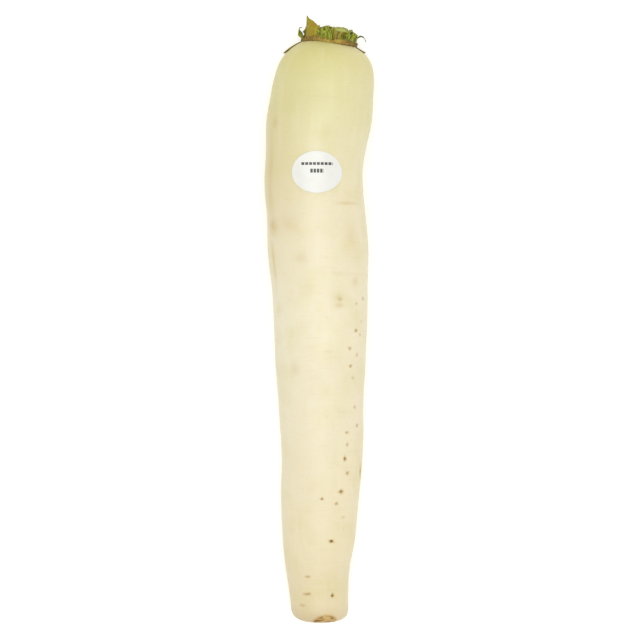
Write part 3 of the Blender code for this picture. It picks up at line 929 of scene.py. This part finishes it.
def make_frill(node, seed):
    """Three crinkled strips round the stalks. Each folds in and out and sideways, more towards its free
    edge, which is ragged and torn in notches."""
    radius, bearing, middle, along = crown_polar(node)
    span, top = np.abs(bearing).max(), along.max()
    chance = np.random.default_rng(seed)
    u = np.linspace(-1, 1, BLADE_COLUMNS)[None, :]
    w = np.linspace(0, 1, BLADE_ROWS)[:, None]
    sheets, heights, folds = [], [], []
    for layer in range(BLADE_LAYERS):
        crinkle = np.clip(ruffles(u, w, chance, 6), -1.5, 1.5)
        rho = radius.min() + (0.35 * layer - 0.4 + 0.7 * w + 0.8 * crinkle * w**1.2) * MM
        sway = 0.05 * ruffles(u, w, chance, 4) * w
        angle = middle + u * span * (0.98 + 0.08 * layer) + sway
        across, up = rho * np.cos(angle), rho * np.sin(angle)
        foot = seat(across, up) - 0.6 * MM
        ragged = rough_edge(u, seed * 7 + layer, 18, 0.5 * MM)
        crest = top * (1 - 0.22 * u**2) + ragged - LAYER_STEP * layer
        sheets.append(crown_point(across, up, foot + w * (crest - foot)))
        heights.append(np.broadcast_to(w, crinkle.shape))
        # The fold share follows how far the crinkle pushes each point out, and drives the painted highlight
        # and painted shade.
        folds.append(np.clip(0.5 + 0.42 * crinkle, 0, 1))
    points, faces = stack(sheets)
    marks = {
        "height": np.concatenate([h.ravel() for h in heights]),
        "fold": np.concatenate([f.ravel() for f in folds]),
    }
    piece = make_piece(f"{node}_blade", points, faces, blade, node, marks)
    return thickened(piece, BLADE)


for i in range(1, 5):
    make_frill(f"leaf_frill_{i}", seed=20 + i)

# ---------------------------------------------------------------------- the dried sheaths and scales
# Bases of the oldest leaves, long dead: papery brown skins. The sheaths make a low, split collar
# round the foot of the stalks, and the scales have folded down over the shoulder and curl off it.
SHEATH = 0.25 * MM
SHEATH_LAYERS = 2
SHEATH_LOWEST = 1.6 * MM
SHEATH_TALLEST = 3.4 * MM
SHEATH_COLUMNS = 140
SHEATH_ROWS = 14
PALEST_BEARING = np.radians(86)
SCALE_ROOM = 0.12

# Dried leaf base: dead plant fibre, papery and brittle. It is tan to dark olive brown with close
# lengthwise veins, dull, and darkest where it meets the root, partly a brown ring of its own and
# partly painted shade.
papery, tree = new_material("dried_leaf_base")
place = add(tree, "TexCoord", "Object", {})
surface = add(tree, "UVMap", "UV", {}, uv_map="surface")
height = add(tree, "Attribute", "Fac", {}, attribute_name="height")
tint = add(tree, "Attribute", "Fac", {}, attribute_name="tint")
drawn_out = add(tree, "Mapping", "Vector", {"Vector": surface, "Scale": (1, 0.12, 1)})
veins = add(tree, "TexNoise", "Fac", {"Vector": drawn_out, "Scale": per(0.7), "Detail": 3.0})
patches = add(tree, "TexNoise", "Fac", {"Vector": place, "Scale": per(3.2), "Detail": 4.0})
brown = mixed(tree, tint, rgba("5E3E0A"), rgba("C2A844"))
patchy = ramp(tree, patches, 0.42, 0.62, 0.0, 0.8)
husk = mixed(tree, patchy, brown, rgba("74640E"))
ridge = ramp(tree, veins, 0.5, 0.7, 0.0, 0.6)
husk = mixed(tree, ridge, husk, rgba("BA9A50"))
# Darker towards the foot: partly the brown ring the dried base has where it meets the root, partly painted
# shade at the foot of the collar.
foot_brown_and_shade = ramp(tree, height, 0.4, 0.1, 0.0, 0.85)
husk = mixed(tree, foot_brown_and_shade, husk, rgba("4E3208"))
ridges = add(tree, "Bump", "Normal", {"Height": veins, "Strength": 0.8, "Distance": 0.3 * MM})
end_material(
    tree,
    {"Base Color": husk, "Roughness": 0.72, "Normal": ridges, "IOR": 1.45},
)


def make_sheath(node, seed):
    """Two layers of a low strip bent round the foot of the stalks, with a ragged, split upper edge that
    wavers in and out. Its colour is paler about the crown's upper side."""
    radius, bearing, middle, along = crown_polar(node)
    span, tall = 1.06 * np.abs(bearing).max(), along.max()
    chance = np.random.default_rng(seed)
    u = np.linspace(-1, 1, SHEATH_COLUMNS)[None, :]
    w = np.linspace(0, 1, SHEATH_ROWS)[:, None]
    sheets, heights, tints, uvs = [], [], [], []
    for layer in range(SHEATH_LAYERS):
        waver = rough_edge(u, seed * 3 + layer, 9, 0.26 * MM) * (0.3 + w)
        angle = middle + (u + 0.05 * layer) * span
        pressed = 0.5 * MM * np.exp(-((turned(angle, PALEST_BEARING + 0.3) / 0.4) ** 2))
        rho = radius.min() + (0.2 - 0.45 * layer) * MM + waver + 0.25 * MM * w**2 - pressed
        across, up = rho * np.cos(angle), rho * np.sin(angle)
        ground = seat(across, up)
        foot = ground - 0.5 * MM
        split = 0.85 * np.abs(rough_edge(u, seed * 5 + layer, 16, 0.7 * MM))
        reach = np.clip(tall - ground.mean() + 0.4 * MM * layer, SHEATH_LOWEST, SHEATH_TALLEST)
        crest = ground + reach * (1 - 0.3 * u**2) - split + chance.normal(0, 0.1 * MM)
        sheets.append(crown_point(across, up, foot + w * (crest - foot)))
        heights.append(np.broadcast_to(w, across.shape).ravel())
        # The colour turns paler about the crown's upper side.
        upper_paleness = np.exp(-((turned(angle, PALEST_BEARING) / 0.45) ** 2))
        tints.append((0.12 + 0.8 * upper_paleness * np.ones_like(w)).ravel())
        uvs.append(np.stack([u * span * radius.min() * np.ones_like(w), w * (crest - foot)], -1))
    points, faces = stack(sheets)
    marks = {"height": np.concatenate(heights), "tint": np.concatenate(tints)}
    uv = np.concatenate([each.reshape(-1, 2) for each in uvs])
    piece = make_piece(f"{node}_husk", points, faces, papery, node, marks, uv)
    return thickened(piece, SHEATH)


for i in range(1, 6):
    make_sheath(f"dry_sheath_{i}", seed=30 + i)


def make_scale(node, seed):
    """A pointed strip laid down the shoulder where its CAD node lies: rows from its upper end to its tip
    follow the skin at one bearing, and the width narrows to the tip. Its edges curl up and its tip
    stands off a little."""
    x, y, z = node_points(node).T
    bearing = np.arctan2((z - on_spine(spine_z, y)) / HEIGHT_RATIO, x - on_spine(spine_x, y))
    middle = np.arctan2(np.sin(bearing).mean(), np.cos(bearing).mean())
    spread = np.abs(turned(bearing, middle) * on_spine(spine_half, y)).max()
    near, far = np.sqrt(CROWN_Y - y.max()), np.sqrt(CROWN_Y - y.min())
    w = np.linspace(-SCALE_ROOM, 1, 60)[:, None]
    u = np.linspace(-1, 1, 26)[None, :]
    path = CROWN_Y - np.maximum(near + w * (far - near), 0.3 * near) ** 2
    narrow = np.sqrt(np.clip(1 - np.clip(w, 0, 1) ** 2, 0.004, 1))
    width = spread * narrow * (0.85 + rough_edge(2 * w - 1, seed, 7, 0.07))
    strip = middle + (u + 0.25 * rough_edge(w, seed + 2, 3, 0.4)) * width / on_spine(spine_half, path)
    curl = (0.5 + 0.6 * u**2 * (1 - 0.5 * w) + 0.6 * np.clip(w, 0, 1) ** 2) * MM
    curl = curl + rough_edge(u, seed + 1, 6, 0.2 * MM)
    grid = on_skin(path + 0 * u, strip, curl)
    faces = sheet_faces(*grid.shape[:2])
    marks = {
        "height": (0.25 + 0.75 * np.clip(w, 0, 1) * np.ones_like(u)).ravel(),
        "tint": np.full(grid[..., 0].size, 0.25),
    }
    uv = np.stack([u * spread * np.ones_like(w), (far**2 - near**2) * w * np.ones_like(u)], -1)
    piece = make_piece(
        f"{node}_husk", grid.reshape(-1, 3), faces, papery, node, marks, uv.reshape(-1, 2)
    )
    return thickened(piece, 2 * SHEATH, offset=-1.0)


for i in range(1, 5):
    make_scale(f"dry_scale_{i}", seed=40 + i)

# --------------------------------------------------------------------------------- the leaf shreds
# Two torn ribbons of leaf, still held at the crown: one curls back on itself at the left, and one, a
# bare dark vein with a kink, sticks out at the right. Both carry painted highlight and painted shade
# across the ribbon: the left one is lime on one edge and dark on the other, and the right one is dark
# nearly all round, its own dark colour and painted shade together.


def make_shred(node, way, width, pale, seed):
    """A twisted ribbon carried along a path: the path is a smooth curve through its points, across, up
    and along the crown, and the ribbon narrows to both ends."""
    knots = np.array(way) * MM
    at = np.linspace(0, len(knots) - 1, 70)
    path = np.stack([smooth(knots[:, k], 1, at) for k in range(3)], axis=-1)
    share = (at / at[-1])[:, None]
    run = np.gradient(path, axis=0)
    run /= np.linalg.norm(run, axis=1, keepdims=True)
    side = np.cross(run, [0.0, 1.0, 0.0])
    side /= np.linalg.norm(side, axis=1, keepdims=True)
    lift = np.cross(side, run)
    twist = 1.5 * share + 0.6 * np.sin(7 * share + seed)
    across = np.cos(twist) * side + np.sin(twist) * lift
    over = np.cross(across, run)
    turn = np.linspace(0, 2 * np.pi, 20, endpoint=False)[None, :]
    wide = width * (0.35 + 0.65 * np.sin(np.pi * np.clip(share, 0.08, 0.97)) ** 0.7)
    wide = wide * (1 + rough_edge(2 * share - 1, seed, 12, 0.12))
    flat = 0.3 * wide * np.sin(turn) + 0.35 * wide * np.cos(turn) ** 2
    ring = path[:, None] + (wide * np.cos(turn))[..., None] * across[:, None]
    ring = ring + flat[..., None] * over[:, None]
    grid = crown_point(ring[..., 0], ring[..., 1], ring[..., 2])
    marks = {
        "height": np.clip(0.5 + share, 0, 1) * np.ones_like(turn),
        # Painted highlight along one edge of the ribbon and painted shade along the other, in the blade's
        # lit and shaded colours; a small share leaves it nearly all in painted shade.
        "fold": pale * (0.5 + 0.5 * np.cos(turn)) * np.ones_like(share),
    }
    return make_shell(f"{node}_ribbon", grid, blade, node, marks)


LEFT_WAY_MM = (
    (-15.6, 2.4, -4.6),
    (-17.4, 2.8, -3.6),
    (-18.8, 3.2, -1.6),
    (-18.9, 3.2, 0.6),
    (-17.6, 2.8, 1.2),
)
RIGHT_WAY_MM = (
    (15.4, 2.0, -0.6),
    (17.4, 2.2, 1.2),
    (19.2, 2.4, 1.2),
    (20.4, 2.2, 0.4),
    (21.6, 1.8, -1.6),
)
# The left ribbon takes the full painted highlight and shade; the right one only a tenth of it, so it is
# nearly all painted shade.
make_shred("leaf_shred_left", LEFT_WAY_MM, 1.3 * MM, pale=1.0, seed=3)
make_shred("leaf_shred_right", RIGHT_WAY_MM, 0.55 * MM, pale=0.1, seed=8)

# --------------------------------------------------------------------------- the table and the light
# A light table of matt opal acrylic, faintly lit from below, under a big soft light overhead, in a
# white room. The camera looks straight down through a long lens, so the root's sides hardly converge.
CAMERA_HEIGHT = 1.3
CAMERA_RIGHT = 0.3 * MM
CAMERA_FORWARD = 0.1 * MM
PICTURE_WIDTH = 0.384
SENSOR = 36.0
ROOM_LIGHT = 0.68
LAMP_POWER = 30.0
LAMP_SIDE = 1.6
LAMP_HEIGHT = 2.2
TABLE_GLOW = 0.12
TABLE_HALF = 3.0

table_top, tree = new_material("opal_acrylic_light_table")
place = add(tree, "TexCoord", "Object", {})
cloud = add(tree, "TexNoise", "Fac", {"Vector": place, "Scale": per(90), "Detail": 2.0})
board = mixed(tree, cloud, rgba("FBFBFA"), rgba("FAFAF9"))
end_material(
    tree,
    {
        "Base Color": board,
        "Roughness": 0.8,
        "Emission Color": (1.0, 1.0, 1.0, 1.0),
        "Emission Strength": TABLE_GLOW,
    },
)

corners = [(x * TABLE_HALF, y * TABLE_HALF, 0.0) for x, y in ((-1, -1), (1, -1), (1, 1), (-1, 1))]
mesh = bpy.data.meshes.new("table_top")
mesh.from_pydata(corners, [], [(0, 1, 2, 3)])
mesh.materials.append(table_top)
table = bpy.data.objects.new("table_top", mesh)
bpy.context.scene.collection.objects.link(table)

room = bpy.data.worlds.new("white_room")
room.use_nodes = True
room.node_tree.nodes["Background"].inputs["Color"].default_value = (1.0, 1.0, 1.0, 1.0)
room.node_tree.nodes["Background"].inputs["Strength"].default_value = ROOM_LIGHT
bpy.context.scene.world = room

lamp = bpy.data.lights.new("overhead_softbox", "AREA")
lamp.shape = "SQUARE"
lamp.size = LAMP_SIDE
lamp.energy = LAMP_POWER
softbox = bpy.data.objects.new("overhead_softbox", lamp)
softbox.location = (0.0, 0.0, LAMP_HEIGHT)
bpy.context.scene.collection.objects.link(softbox)

low, high = (np.array(corner) for corner in cad_box)
axis_height = float(on_spine(spine_z, (TAIL_Y + CROWN_Y) / 2))
lens = bpy.data.cameras.new("overhead_camera")
lens.sensor_width = SENSOR
lens.lens = SENSOR * (CAMERA_HEIGHT - axis_height) / PICTURE_WIDTH
camera = bpy.data.objects.new("overhead_camera", lens)
camera.location = (
    (low[0] + high[0]) / 2 + CAMERA_RIGHT,
    (low[1] + high[1]) / 2 + CAMERA_FORWARD,
    CAMERA_HEIGHT,
)
bpy.context.scene.collection.objects.link(camera)
bpy.context.scene.camera = camera
bpy.context.scene.view_settings.view_transform = "Standard"
